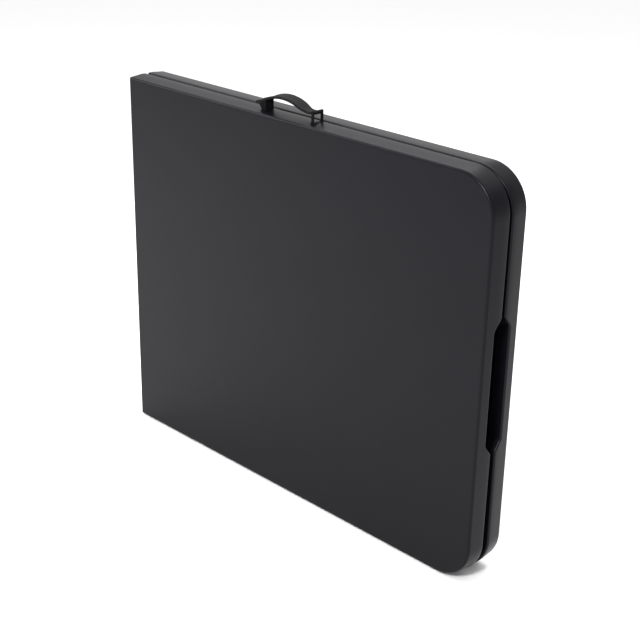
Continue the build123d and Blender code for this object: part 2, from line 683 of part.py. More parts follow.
# Wedge: leans out under the strap's fixed end
with BuildPart() as handle_wedge:
    with BuildSketch(leaf_plane(STRAP_DEPTH)):
        with BuildLine():
            Polyline(
                (WEDGE_BASE_X[0], SEAT_Z),
                (WEDGE_BASE_X[1], SEAT_Z),
                WEDGE_TOP_RIGHT,
                WEDGE_TOP_LEFT,
                (WEDGE_BASE_X[0], SEAT_Z + MOUNT_BASE),
                close=True,
            )
        make_face()
    extrude(amount=WEDGE_WIDTH / 2, both=True)
    extrude(strap_profile(MOUNT_CLEARANCE), amount=MOUNT_WIDTH / 2, both=True, mode=Mode.SUBTRACT)
    wedge_length = WEDGE_BASE_X[1] - WEDGE_BASE_X[0]
    with Locations((sum(WEDGE_BASE_X) / 2, STRAP_Y, SEAT_Z)):
        Box(wedge_length, MOUNT_WIDTH, MOUNT_BASE, align=(Align.CENTER, Align.CENTER, Align.MIN))
    add(handle_screw_hole(RUNNING), mode=Mode.SUBTRACT)
publish(handle_wedge, "handle_wedge")

# Staple: a base, two posts and the bar through the strap's eye
with BuildPart() as handle_staple:
    with Locations((sum(STAPLE_BASE_X) / 2, STRAP_Y, SEAT_Z)):
        Box(
            STAPLE_BASE_X[1] - STAPLE_BASE_X[0], MOUNT_WIDTH, MOUNT_BASE,
            align=(Align.CENTER, Align.CENTER, Align.MIN),
        )
    for post in SIDES:
        with Locations((sum(STAPLE_POST_X) / 2, STRAP_Y + post * (MOUNT_WIDTH - STAPLE_POST) / 2, SEAT_Z)):
            Box(
                STAPLE_POST_X[1] - STAPLE_POST_X[0], STAPLE_POST, STAPLE_TOP_Z - SEAT_Z,
                align=(Align.CENTER, Align.CENTER, Align.MIN),
            )
    with Locations(Location((STRAP_EYE[0], STRAP_Y, STRAP_EYE[1]), (90, 0, 0))):
        Cylinder(EYE_BAR_RADIUS, MOUNT_WIDTH)
publish(handle_staple, "handle_staple")
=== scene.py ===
import json
import math

import bmesh
import bpy
from mathutils import Matrix, Quaternion, Vector


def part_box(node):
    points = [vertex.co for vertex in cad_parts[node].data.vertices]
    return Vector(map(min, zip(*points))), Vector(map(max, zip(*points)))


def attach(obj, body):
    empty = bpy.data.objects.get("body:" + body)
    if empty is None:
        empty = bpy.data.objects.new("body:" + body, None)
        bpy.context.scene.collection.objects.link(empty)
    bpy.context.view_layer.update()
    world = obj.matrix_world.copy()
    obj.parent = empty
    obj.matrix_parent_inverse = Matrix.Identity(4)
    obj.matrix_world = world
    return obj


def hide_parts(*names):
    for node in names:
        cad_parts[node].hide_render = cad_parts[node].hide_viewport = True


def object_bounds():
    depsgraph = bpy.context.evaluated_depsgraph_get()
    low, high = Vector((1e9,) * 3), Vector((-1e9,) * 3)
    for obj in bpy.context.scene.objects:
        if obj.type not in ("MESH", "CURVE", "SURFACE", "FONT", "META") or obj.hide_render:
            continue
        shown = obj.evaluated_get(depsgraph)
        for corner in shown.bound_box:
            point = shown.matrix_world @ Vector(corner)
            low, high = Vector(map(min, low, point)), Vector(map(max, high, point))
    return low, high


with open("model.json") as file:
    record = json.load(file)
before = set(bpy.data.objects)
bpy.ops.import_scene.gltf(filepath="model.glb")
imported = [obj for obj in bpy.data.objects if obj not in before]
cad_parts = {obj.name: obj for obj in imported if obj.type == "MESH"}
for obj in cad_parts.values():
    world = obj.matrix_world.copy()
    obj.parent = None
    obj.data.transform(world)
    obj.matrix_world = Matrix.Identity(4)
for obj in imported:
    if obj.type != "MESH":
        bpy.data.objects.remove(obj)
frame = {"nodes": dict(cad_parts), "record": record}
cad_low, cad_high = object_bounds()

# All sizes are in metres, in the frame's own axes: X from the centre hinge to the outer end,
# Y through the thickness (front leaf at y < 0) and Z up.
MM = 0.001

# ---------------------------------------------------------------- leaf sizes
panel_low, panel_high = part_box("front_panel")
LEAF_EDGE_X = panel_low[0]
OUTER_X = panel_high[0]
BASE_Z = panel_low[2]
RIM_Z = panel_high[2]
MID_Z = (BASE_Z + RIM_Z) / 2
LAND_DEPTH = -panel_high[1]
TOP_DEPTH = -panel_low[1]
FLOOR_DEPTH = LAND_DEPTH + 25.5 * MM
DRAFT_DEPTH = LAND_DEPTH + 12 * MM
DRAFT = math.radians(5.5)
CORNER_RADIUS = 75 * MM
TOP_RADIUS = 5 * MM
LIP_RADIUS = 3.5 * MM
HINGE_TOP_RADIUS = 2 * MM
HINGE_LIP_RADIUS = 0.5 * MM
RIM_WIDTH = 26 * MM
HINGE_RIM_WIDTH = 46 * MM
RECESS_HINGE_RADIUS = 12 * MM
INNER_EDGE_RADIUS = 2 * MM
FLOOR_RADIUS = 3 * MM

NOTCH_CENTRE_Z = 376 * MM
NOTCH_MOUTH_HALF = 128 * MM
NOTCH_FLOOR_HALF = 104 * MM
NOTCH_DEPTH = 17.5 * MM
NOTCH_EASE = 3 * MM

# The gap between the leaves opens to the lower outer corner and nearly closes at the upper one
GAP_BOW = 4.5 * MM
BOW_START_X = -100 * MM
GAP_PINCH = 1.9 * MM
PINCH_INSET = 35 * MM
PINCH_REACH = 72 * MM

# How finely the leaf's mesh is divided
SIDE_STEPS = 26
CORNER_STEPS = 28
NOTCH_STEP = 2.2 * MM
HINGE_STEPS = 14
ARC_STEPS = 8
HALF_ARC_STEPS = 5
INNER_ARC_STEPS = 3
WALL_SHARES = (0.3, 0.65, 1.0)
KINK_CLEARANCE = 0.3 * MM
NEAR_HINGE_STEP = 7 * MM
HINGE_CORNER_NEAR = 14 * MM
HINGE_CORNER_FAR = 34 * MM
HINGE_STRAIGHT_START = 40 * MM

# Dimples moulded into the underside
DIMPLE_PITCH = 42 * MM
DIMPLE_SEGMENTS = 16
DIMPLE_RINGS = (
    (13.5 * MM, 0.0),
    (12.6 * MM, 0.5 * MM),
    (11.8 * MM, 1.6 * MM),
    (9.0 * MM, 7.0 * MM),
    (8.0 * MM, 8.1 * MM),
    (6.6 * MM, 8.6 * MM),
)
DIMPLE_FIELD_X = (-372 * MM, 342 * MM)
DIMPLE_FIELD_HALF_Z = 294 * MM

# Pockets for the hinge plates and room for their knuckles
HINGE_HEIGHTS = (110 * MM, MID_Z, 635 * MM)
HINGE_AXIS_INSET = 4.5 * MM
KNUCKLE_ROOM_RADIUS = 5.5 * MM
KNUCKLE_ROOM_LENGTH = 92 * MM
POCKET_BEHIND_AXIS = 6 * MM
POCKET_HALF_DEPTH = 2 * MM
POCKET_HALF_LENGTH = 45 * MM
POCKET_CLEARANCE = 0.05 * MM

# Sockets in the front leaf for the locating studs
STUD_X = 399 * MM
SOCKET_RADIUS = 5.6 * MM
SOCKET_CUT_LENGTH = 9 * MM

# Carry handle: strap centre line as (x, z), with its wedge and staple
STRAP_Y = -18 * MM
STRAP_HALF_WIDTH = 13 * MM
STRAP_END_HALF_WIDTH = 10 * MM
STRAP_TAPER_X = (4 * MM, 26 * MM)
STRAP_HALF_THICKNESS = 2.5 * MM
STRAP_EDGE_RADIUS = 1.6 * MM
STRAP_START = (-100 * MM, 757 * MM)
STRAP_RISE = (-82 * MM, 763 * MM)
STRAP_PEAK = (-32 * MM, 776.5 * MM)
STRAP_FALL = (10 * MM, 766 * MM)
STRAP_EYE = (43 * MM, 763.2 * MM)
STRAP_LEAN = 1.5 * MM
CREST_HALF_LENGTH = 52 * MM
BEAD_WIDTH = 2.6 * MM
BEAD_SLOPE_SHARE = 0.86
BEAD_HEIGHT = 0.5 * MM
FOOT_STEPS = 5
ARCH_STEPS = 34
DIP_STEPS = 14
EYE_RADIUS = 3.6 * MM
EYE_EDGE = 0.8 * MM
EYE_CUT_LENGTH = 40 * MM
BAR_RADIUS = 1.6 * MM
BAR_CLEARANCE = 0.05 * MM
EYE_CENTRE = (STRAP_EYE[0], STRAP_Y, STRAP_EYE[1])
SEAT_Z = 743.2 * MM
MOUNT_WIDTH = 25 * MM
MOUNT_BASE = 2 * MM
MOUNT_EDGE = 0.6 * MM
MOUNT_CUT_OVER = 5 * MM
WEDGE_HALF_WIDTH = 10 * MM
WEDGE_BASE_X = (-88 * MM, -77 * MM)
WEDGE_TIP_X = -99 * MM
WEDGE_EDGE = 0.5 * MM
WEDGE_CLEARANCE = 0.2 * MM
WEDGE_END_INSET = 1 * MM
STAPLE_BASE_X = (38 * MM, 48.5 * MM)
STAPLE_POST_X = (40.5 * MM, 46 * MM)
STAPLE_POST = 2.3 * MM
STAPLE_POST_EDGE = 0.4 * MM
STAPLE_POST_SINK = 1 * MM
STAPLE_BAR_LENGTH = MOUNT_WIDTH - 1 * MM
STAPLE_TOP_Z = 767 * MM
STAPLE_ARC_STEPS = 10
SECTION_ARC_STEPS = 5

# How finely the small round parts and their edges are divided
BEVEL_STEPS = 3
CUTTER_SEGMENTS = 40
EYE_SEGMENTS = 48
BAR_SEGMENTS = 24


# ---------------------------------------------------------------- mesh helpers
def make_object(name, bm):
    """A new object from a bmesh, with its normals turned outward."""
    bmesh.ops.recalc_face_normals(bm, faces=bm.faces)
    mesh = bpy.data.meshes.new(name)
    bm.to_mesh(mesh)
    bm.free()
    piece = bpy.data.objects.new(name, mesh)
    bpy.context.scene.collection.objects.link(piece)
    return piece


def shade(piece, angle_deg=35.0):
    """Smooth shading that keeps edges sharper than the angle."""
    mesh = piece.data
    mesh.shade_smooth()
    mesh.set_sharp_from_angle(angle=math.radians(angle_deg))
    weighted = piece.modifiers.new("weighted_normals", "WEIGHTED_NORMAL")
    weighted.keep_sharp = True


def cut(piece, cutters, operation="DIFFERENCE"):
    """Subtracts closed meshes from a piece, or adds them with "UNION", and applies the result."""
    for cutter in cutters:
        boolean = piece.modifiers.new("cut", "BOOLEAN")
        boolean.operation = operation
        boolean.solver = "EXACT"
        boolean.object = cutter
    depsgraph = bpy.context.evaluated_depsgraph_get()
    result = bpy.data.meshes.new_from_object(piece.evaluated_get(depsgraph))
    piece.modifiers.clear()
    old = piece.data
    piece.data = result
    bpy.data.meshes.remove(old)
    for cutter in cutters:
        bpy.data.objects.remove(cutter)


def box_cutter(low, high):
    bm = bmesh.new()
    bmesh.ops.create_cube(bm, size=1)
    size = Vector(high) - Vector(low)
    middle = (Vector(high) + Vector(low)) / 2
    bmesh.ops.scale(bm, vec=size, verts=bm.verts)
    bmesh.ops.translate(bm, vec=middle, verts=bm.verts)
    return make_object("cutter", bm)


def cylinder_cutter(centre, radius, length, turn=None):
    bm = bmesh.new()
    bmesh.ops.create_cone(
        bm, cap_ends=True, segments=CUTTER_SEGMENTS, radius1=radius, radius2=radius, depth=length
    )
    if turn is not None:
        bmesh.ops.rotate(bm, matrix=turn, verts=bm.verts)
    bmesh.ops.translate(bm, vec=centre, verts=bm.verts)
    return make_object("cutter", bm)


# ---------------------------------------------------------------- leaf panels
def smooth_step(t):
    t = min(1.0, max(0.0, t))
    return t * t * (3 - 2 * t)


def notch_depth(z):
    """How far the rim's edge is cut back at this height of the outer end."""
    away = abs(z - NOTCH_CENTRE_Z)
    slope = NOTCH_MOUTH_HALF - NOTCH_FLOOR_HALF
    return NOTCH_DEPTH * smooth_step((NOTCH_MOUTH_HALF + NOTCH_EASE - away) / (slope + 2 * NOTCH_EASE))


def gap_bow(point):
    """How much further than its land depth a bowed rim stands off the middle of the gap."""
    along = smooth_step((point.x - BOW_START_X) / (OUTER_X - BOW_START_X))
    down = (RIM_Z - point.y) / (RIM_Z - BASE_Z)
    from_pinch = math.hypot(point.x - (OUTER_X - PINCH_INSET), point.y - RIM_Z)
    pinch = 1.0 - smooth_step(from_pinch / PINCH_REACH)
    return GAP_BOW * along * down - GAP_PINCH * pinch


def edge_inset(distance, radius):
    """How far a rounded edge stands back at this distance below the face that it meets."""
    if distance >= radius:
        return 0.0
    return radius - math.sqrt(max(0.0, radius**2 - (radius - distance) ** 2))


def draft_inset(depth):
    return max(0.0, depth - DRAFT_DEPTH) * math.tan(DRAFT)


def spread(low, high, steps):
    return [low + (high - low) * k / steps for k in range(steps + 1)]


def arc_points(centre, radius, start_deg, end_deg, steps):
    """Points on an arc, each with the direction in towards its centre."""
    found = []
    for angle in spread(math.radians(start_deg), math.radians(end_deg), steps):
        out = Vector((math.cos(angle), math.sin(angle)))
        found.append((Vector(centre) + out * radius, -out))
    return found


def side_stations():
    """Stations round the leaf.

    Each has the outline's point, the inward directions for the rim and for the hinge side, the
    inner wall's point and the inner wall's inward direction. Points are (x, z).
    """
    inner_low_x = LEAF_EDGE_X + HINGE_RIM_WIDTH
    inner_high_x = OUTER_X - RIM_WIDTH
    inner_low_z = BASE_Z + RIM_WIDTH
    inner_high_z = RIM_Z - RIM_WIDTH
    arc_x = OUTER_X - CORNER_RADIUS
    inner_radius = CORNER_RADIUS - RIM_WIDTH
    hinge_arc_x = inner_low_x + RECESS_HINGE_RADIUS
    low_arc = arc_points(
        (hinge_arc_x, inner_low_z + RECESS_HINGE_RADIUS), RECESS_HINGE_RADIUS, 180, 270, 2 * HALF_ARC_STEPS
    )
    high_arc = arc_points(
        (hinge_arc_x, inner_high_z - RECESS_HINGE_RADIUS), RECESS_HINGE_RADIUS, 90, 180, 2 * HALF_ARC_STEPS
    )
    up, down = Vector((0, 1)), Vector((0, -1))
    right, left, none = Vector((1, 0)), Vector((-1, 0)), Vector((0, 0))
    near_hinge = [LEAF_EDGE_X + NEAR_HINGE_STEP * k for k in range(HALF_ARC_STEPS + 1)]
    along = spread(near_hinge[-1], arc_x, SIDE_STEPS)[1:]
    stations = []

    # Lower long side, from the hinge corner to the outer corner
    for k, x in enumerate(near_hinge):
        point, inward = low_arc[HALF_ARC_STEPS + k]
        stations.append((Vector((x, BASE_Z)), up, right if k == 0 else none, point, inward))
    for x in along:
        t = (x - near_hinge[-1]) / (arc_x - near_hinge[-1])
        inner = Vector((hinge_arc_x + (arc_x - hinge_arc_x) * t, inner_low_z))
        stations.append((Vector((x, BASE_Z)), up, none, inner, up))

    # Lower outer corner, outer end, upper outer corner
    outer_low = arc_points((arc_x, BASE_Z + CORNER_RADIUS), CORNER_RADIUS, -90, 0, CORNER_STEPS)
    inner_low = arc_points((arc_x, BASE_Z + CORNER_RADIUS), inner_radius, -90, 0, CORNER_STEPS)
    for (point, inward), (inner, _) in list(zip(outer_low, inner_low))[1:]:
        stations.append((point, inward, none, inner, inward))
    end_low, end_high = BASE_Z + CORNER_RADIUS, RIM_Z - CORNER_RADIUS
    end_steps = round((end_high - end_low) / NOTCH_STEP)
    for z in spread(end_low, end_high, end_steps)[1:]:
        stations.append((Vector((OUTER_X, z)), left, none, Vector((inner_high_x, z)), left))
    outer_high = arc_points((arc_x, end_high), CORNER_RADIUS, 0, 90, CORNER_STEPS)
    inner_high = arc_points((arc_x, end_high), inner_radius, 0, 90, CORNER_STEPS)
    for (point, inward), (inner, _) in list(zip(outer_high, inner_high))[1:]:
        stations.append((point, inward, none, inner, inward))

    # Upper long side, back to the hinge corner
    for x in list(reversed(along))[1:]:
        t = (x - near_hinge[-1]) / (arc_x - near_hinge[-1])
        inner = Vector((hinge_arc_x + (arc_x - hinge_arc_x) * t, inner_high_z))
        stations.append((Vector((x, RIM_Z)), down, none, inner, down))
    for k in range(HALF_ARC_STEPS, -1, -1):
        point, inward = high_arc[HALF_ARC_STEPS - k]
        stations.append((Vector((near_hinge[k], RIM_Z)), down, right if k == 0 else none, point, inward))

    # Hinge side, down to the start
    heights = spread(RIM_Z - HINGE_STRAIGHT_START, BASE_Z + HINGE_STRAIGHT_START, HINGE_STEPS)
    upper = spread(RIM_Z - HINGE_CORNER_NEAR, RIM_Z - HINGE_CORNER_FAR, HALF_ARC_STEPS - 1)
    lower = spread(BASE_Z + HINGE_CORNER_FAR, BASE_Z + HINGE_CORNER_NEAR, HALF_ARC_STEPS - 1)
    for k, z in enumerate(upper):
        point, inward = high_arc[HALF_ARC_STEPS + 1 + k]
        stations.append((Vector((LEAF_EDGE_X, z)), none, right, point, inward))
    for z in heights:
        stations.append((Vector((LEAF_EDGE_X, z)), none, right, Vector((inner_low_x, z)), right))
    for k, z in enumerate(lower):
        point, inward = low_arc[k]
        stations.append((Vector((LEAF_EDGE_X, z)), none, right, point, inward))
    return stations


def station_rows(station):
    """The cross-section at one station, from the table top round the rim to the recess floor."""
    point, rim_in, hinge_in, inner, inner_in = station
    land = LAND_DEPTH + gap_bow(point)
    on_outer_end = rim_in.x < -0.999
    if on_outer_end:
        land = max(land, LAND_DEPTH + notch_depth(point.y))
    rows = []
    centre_inset = draft_inset(TOP_DEPTH - TOP_RADIUS) + TOP_RADIUS / math.cos(DRAFT)
    for angle in spread(math.pi / 2, DRAFT, ARC_STEPS):
        inset = centre_inset - TOP_RADIUS * math.cos(angle)
        depth = TOP_DEPTH - TOP_RADIUS + TOP_RADIUS * math.sin(angle)
        rows.append((inset, depth))
    side_top = rows[-1][1]
    kink = max(DRAFT_DEPTH, land + LIP_RADIUS + KINK_CLEARANCE)
    for share in WALL_SHARES:
        depth = side_top + (kink - side_top) * share
        rows.append((draft_inset(depth), depth))
    lip_base = draft_inset(land + LIP_RADIUS)
    for angle in spread(0, math.pi / 2, HALF_ARC_STEPS):
        depth = land + LIP_RADIUS * (1 - math.sin(angle))
        rows.append((lip_base + LIP_RADIUS * (1 - math.cos(angle)), depth))
    found = []
    for inset, depth in rows:
        hinge_inset = edge_inset(TOP_DEPTH - depth, HINGE_TOP_RADIUS)
        hinge_inset += edge_inset(depth - LAND_DEPTH, HINGE_LIP_RADIUS)
        place = point + rim_in * inset + hinge_in * hinge_inset
        found.append(Vector((place.x, -depth, place.y)))
    for angle in spread(0, math.pi / 2, INNER_ARC_STEPS):
        place = inner - inner_in * INNER_EDGE_RADIUS * (1 - math.sin(angle))
        depth = land + INNER_EDGE_RADIUS * (1 - math.cos(angle))
        found.append(Vector((place.x, -depth, place.y)))
    for angle in spread(0, math.pi / 2, INNER_ARC_STEPS):
        place = inner + inner_in * FLOOR_RADIUS * (1 - math.cos(angle))
        depth = FLOOR_DEPTH - FLOOR_RADIUS * (1 - math.sin(angle))
        found.append(Vector((place.x, -depth, place.y)))
    return found


def dimple_field(bm):
    """A grid of round moulded dimples in the recess floor. Returns the field's edge loop."""
    columns = round((DIMPLE_FIELD_X[1] - DIMPLE_FIELD_X[0]) / DIMPLE_PITCH)
    lines = round(2 * DIMPLE_FIELD_HALF_Z / DIMPLE_PITCH)
    shared = {}

    def corner(x, z):
        key = (round(x / MM, 3), round(z / MM, 3))
        if key not in shared:
            shared[key] = bm.verts.new((x, -FLOOR_DEPTH, z))
        return shared[key]

    half = DIMPLE_PITCH / 2
    for column in range(columns):
        for line in range(lines):
            x = DIMPLE_FIELD_X[0] + DIMPLE_PITCH * (column + 0.5)
            z = MID_Z - DIMPLE_FIELD_HALF_Z + DIMPLE_PITCH * (line + 0.5)
            rings = []
            outer = []
            for k in range(DIMPLE_SEGMENTS):
                angle = 2 * math.pi * k / DIMPLE_SEGMENTS
                reach = half / max(abs(math.cos(angle)), abs(math.sin(angle)))
                outer.append(corner(x + reach * math.cos(angle), z + reach * math.sin(angle)))
            rings.append(outer)
            for radius, sink in DIMPLE_RINGS:
                ring = []
                for k in range(DIMPLE_SEGMENTS):
                    angle = 2 * math.pi * k / DIMPLE_SEGMENTS
                    place = (x + radius * math.cos(angle), -FLOOR_DEPTH - sink, z + radius * math.sin(angle))
                    ring.append(bm.verts.new(place))
                rings.append(ring)
            for wide, narrow in zip(rings, rings[1:]):
                for k in range(DIMPLE_SEGMENTS):
                    after = (k + 1) % DIMPLE_SEGMENTS
                    bm.faces.new((wide[k], wide[after], narrow[after], narrow[k]))
            bm.faces.new(rings[-1])
    return [edge for edge in bm.edges if edge.is_boundary]


def leaf_mesh(name, side):
    """The whole moulded leaf, with side -1 for the front leaf and 1 for the back."""
    bm = bmesh.new()
    field_edges = dimple_field(bm)
    rows = [[bm.verts.new(v) for v in station_rows(s)] for s in side_stations()]
    count = len(rows)
    for k in range(count):
        here, after = rows[k], rows[(k + 1) % count]
        for r in range(len(here) - 1):
            bm.faces.new((here[r], after[r], after[r + 1], here[r + 1]))
    bm.faces.new([row[0] for row in rows])
    floor_edges = []
    for k in range(count):
        edge = bm.edges.get((rows[k][-1], rows[(k + 1) % count][-1]))
        floor_edges.append(edge)
    bmesh.ops.triangle_fill(bm, use_beauty=True, edges=floor_edges + field_edges)
    if side > 0:
        bmesh.ops.scale(bm, vec=(1, -1, 1), verts=bm.verts)
    return make_object(name, bm)


def hinge_cutters(side):
    """Pockets for the hinge plates and room for their knuckles."""
    cutters = []
    plates_low, plates_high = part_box("front_hinge_plates")
    axis_x = plates_low[0] + HINGE_AXIS_INSET
    for height in HINGE_HEIGHTS:
        cutters.append(cylinder_cutter((axis_x, 0, height), KNUCKLE_ROOM_RADIUS, KNUCKLE_ROOM_LENGTH))
        depths = sorted(side * (LAND_DEPTH + step) for step in (-POCKET_HALF_DEPTH, POCKET_HALF_DEPTH))
        low = (axis_x - POCKET_BEHIND_AXIS, depths[0], height - POCKET_HALF_LENGTH)
        high = (plates_high[0] + POCKET_CLEARANCE, depths[1], height + POCKET_HALF_LENGTH)
        cutters.append(box_cutter(low, high))
    return cutters


def socket_cutters():
    """Sockets for the locating studs."""
    turn = Matrix.Rotation(math.pi / 2, 3, "X")
    cutters = []
    for height in (BASE_Z + RIM_WIDTH / 2, RIM_Z - RIM_WIDTH / 2):
        centre = (STUD_X, -LAND_DEPTH, height)
        cutters.append(cylinder_cutter(centre, SOCKET_RADIUS, SOCKET_CUT_LENGTH, turn))
    return cutters


def mount_cutters():
    """Seats in the front leaf's rim for the strap's wedge and staple."""
    cutters = []
    for low_x, high_x in (WEDGE_BASE_X, STAPLE_BASE_X):
        low = (low_x, STRAP_Y - MOUNT_WIDTH / 2, SEAT_Z)
        high = (high_x, STRAP_Y + MOUNT_WIDTH / 2, RIM_Z + MOUNT_CUT_OVER)
        cutters.append(box_cutter(low, high))
    return cutters


# ---------------------------------------------------------------- materials
BROAD_SCALE = 9.0
BROAD_DETAIL = 2.0
GRAIN_DETAIL = 4.0
WAVE_DEPTH = 0.4 * MM
WAVE_STRENGTH = 0.35
GRAIN_STRENGTH = 0.6


def new_material(name):
    material = bpy.data.materials.new(name)
    material.use_nodes = True
    nodes = material.node_tree.nodes
    return material, nodes, material.node_tree.links, nodes["Principled BSDF"]


def noise_node(nodes, links, coordinates, scale, detail):
    noise = nodes.new("ShaderNodeTexNoise")
    noise.inputs["Scale"].default_value = scale
    noise.inputs["Detail"].default_value = detail
    links.new(coordinates.outputs["Object"], noise.inputs["Vector"])
    return noise


def range_node(nodes, links, source, low, high):
    ramp = nodes.new("ShaderNodeMapRange")
    ramp.inputs["To Min"].default_value = low
    ramp.inputs["To Max"].default_value = high
    links.new(source, ramp.inputs["Value"])
    return ramp


def bump_node(nodes, links, height, distance, strength, before=None):
    bump = nodes.new("ShaderNodeBump")
    bump.inputs["Distance"].default_value = distance
    bump.inputs["Strength"].default_value = strength
    links.new(height, bump.inputs["Height"])
    if before is not None:
        links.new(before.outputs["Normal"], bump.inputs["Normal"])
    return bump


def surface_material(name, dark, light, rough, grain, grain_depth, metallic=0.0, specular=0.5):
    """A surface whose colour and gloss vary slightly, with a fine grain over a broad waviness."""
    material, nodes, links, shader = new_material(name)
    coordinates = nodes.new("ShaderNodeTexCoord")
    broad = noise_node(nodes, links, coordinates, BROAD_SCALE, BROAD_DETAIL)
    fine = noise_node(nodes, links, coordinates, grain, GRAIN_DETAIL)
    tint = nodes.new("ShaderNodeMix")
    tint.data_type = "RGBA"
    tint.inputs["A"].default_value = (*dark, 1)
    tint.inputs["B"].default_value = (*light, 1)
    links.new(broad.outputs["Fac"], tint.inputs["Factor"])
    links.new(tint.outputs["Result"], shader.inputs["Base Color"])
    gloss = range_node(nodes, links, fine.outputs["Fac"], rough[0], rough[1])
    links.new(gloss.outputs["Result"], shader.inputs["Roughness"])
    wave = bump_node(nodes, links, broad.outputs["Fac"], WAVE_DEPTH, WAVE_STRENGTH)
    bump = bump_node(nodes, links, fine.outputs["Fac"], grain_depth, GRAIN_STRENGTH, wave)
    links.new(bump.outputs["Normal"], shader.inputs["Normal"])
    shader.inputs["Metallic"].default_value = metallic
    shader.inputs["Specular IOR Level"].default_value = specular
    return material


MATERIALS = {
    "moulded_panel": surface_material(
        "moulded_panel", (0.003, 0.0028, 0.0044), (0.0043, 0.004, 0.0062), (0.3, 0.42), 1500.0, 0.05 * MM,
        specular=0.12,
    ),
    "handle_strap": surface_material(
        "handle_strap", (0.005, 0.005, 0.006), (0.007, 0.007, 0.008), (0.55, 0.7), 900.0, 0.05 * MM,
        specular=0.08,
    ),
    "handle_fittings": surface_material(
        "handle_fittings", (0.004, 0.004, 0.0045), (0.006, 0.006, 0.0066), (0.6, 0.75), 900.0, 0.04 * MM,
        specular=0.05,
    ),
    "rubber": surface_material(
        "rubber", (0.012, 0.012, 0.012), (0.02, 0.02, 0.02), (0.7, 0.85), 700.0, 0.08 * MM,
        specular=0.3,
    ),
    "black_nylon": surface_material(
        "black_nylon", (0.012, 0.012, 0.013), (0.018, 0.018, 0.019), (0.35, 0.5), 1100.0, 0.04 * MM
    ),
    "stud_nylon": surface_material(
        "stud_nylon", (0.55, 0.55, 0.53), (0.66, 0.66, 0.63), (0.35, 0.45), 800.0, 0.03 * MM
    ),
    "zinc_steel": surface_material(
        "zinc_steel", (0.46, 0.47, 0.49), (0.6, 0.61, 0.62), (0.25, 0.42), 600.0, 0.02 * MM,
        metallic=1.0,
    ),
    "stay_steel": surface_material(
        "stay_steel", (0.022, 0.022, 0.024), (0.03, 0.03, 0.032), (0.32, 0.46), 1200.0, 0.05 * MM
    ),
    "coated_steel": surface_material(
        "coated_steel", (0.16, 0.165, 0.17), (0.2, 0.205, 0.21), (0.34, 0.48), 1400.0, 0.06 * MM
    ),
}


def paint(piece, slot):
    piece.data.materials.clear()
    piece.data.materials.append(MATERIALS[slot])


def paint_cad_nodes():
    """Gives every CAD node the material of its slot."""
    for part in frame["record"]["subparts"]:
        node = frame["nodes"][part["node"]]
        material = MATERIALS[part["material_slot"]]
        for material_slot in node.material_slots:
            material_slot.material = material


# ---------------------------------------------------------------- build the pieces
def build_panels():
    """The two moulded leaves, the front one with its stud sockets and seats for the handle."""
    for name, side in (("front", -1), ("back", 1)):
        piece = leaf_mesh(f"{name}_moulded_leaf", side)
        cutters = hinge_cutters(side)
        if side < 0:
            cutters += socket_cutters() + mount_cutters()
        cut(piece, cutters)
        shade(piece)
        paint(piece, "moulded_panel")
        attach(piece, f"{name}_leaf")
        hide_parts(f"{name}_panel")


def circle_through(first, second, third):
    """Centre and radius of the circle through three points."""
    a, b, c = Vector(first), Vector(second), Vector(third)
    ab, ac = b - a, c - a
    span = 2 * (ab.x * ac.y - ab.y * ac.x)
    reach = Vector((
        ac.y * ab.length_squared - ab.y * ac.length_squared,
        ab.x * ac.length_squared - ac.x * ab.length_squared,
    ))
    centre = a + reach / span
    return centre, (a - centre).length


def strap_path():
    """Points (x, z) along the strap's centre line: a straight foot, an arch and a dip to the eye."""
    start, rise = Vector(STRAP_START), Vector(STRAP_RISE)
    points = [start.lerp(rise, share) for share in spread(0, 1, FOOT_STEPS)]
    centre, radius = circle_through(STRAP_RISE, STRAP_PEAK, STRAP_FALL)
    first = math.atan2(STRAP_RISE[1] - centre.y, STRAP_RISE[0] - centre.x)
    last = math.atan2(STRAP_FALL[1] - centre.y, STRAP_FALL[0] - centre.x)
    for angle in spread(first, last, ARCH_STEPS)[1:]:
        points.append(centre + radius * Vector((math.cos(angle), math.sin(angle))))

    # The dip leaves the arch along its tangent
    heading = Vector((math.sin(last), -math.cos(last)))
    up = Vector((-heading.y, heading.x))
    chord = Vector(STRAP_EYE) - points[-1]
    bend = chord.length_squared / (2 * chord.dot(up))
    centre = points[-1] + up * bend
    sweep = 2 * math.atan2(chord.dot(up), chord.dot(heading))
    for angle in spread(0, sweep, DIP_STEPS)[1:]:
        points.append(centre + bend * (heading * math.sin(angle) - up * math.cos(angle)))
    return points


def strap_section():
    """The strap's section as (across, up) points, with round edges and a low bead along each edge."""
    half_width, half_thickness, edge = STRAP_HALF_WIDTH, STRAP_HALF_THICKNESS, STRAP_EDGE_RADIUS
    section = []
    for across, up, start in ((1, 1, 0), (-1, 1, 90), (-1, -1, 180), (1, -1, 270)):
        centre = (across * (half_width - edge), up * (half_thickness - edge))
        for angle in spread(math.radians(start), math.radians(start + 90), SECTION_ARC_STEPS):
            section.append((centre[0] + edge * math.cos(angle), centre[1] + edge * math.sin(angle)))
        if start in (0, 180):
            inner = half_width - BEAD_WIDTH
            for share in (1, BEAD_SLOPE_SHARE, -BEAD_SLOPE_SHARE, -1):
                sink = 0.0 if abs(share) == 1 else BEAD_HEIGHT
                section.append((across * share * inner, up * (half_thickness - sink)))
    return section


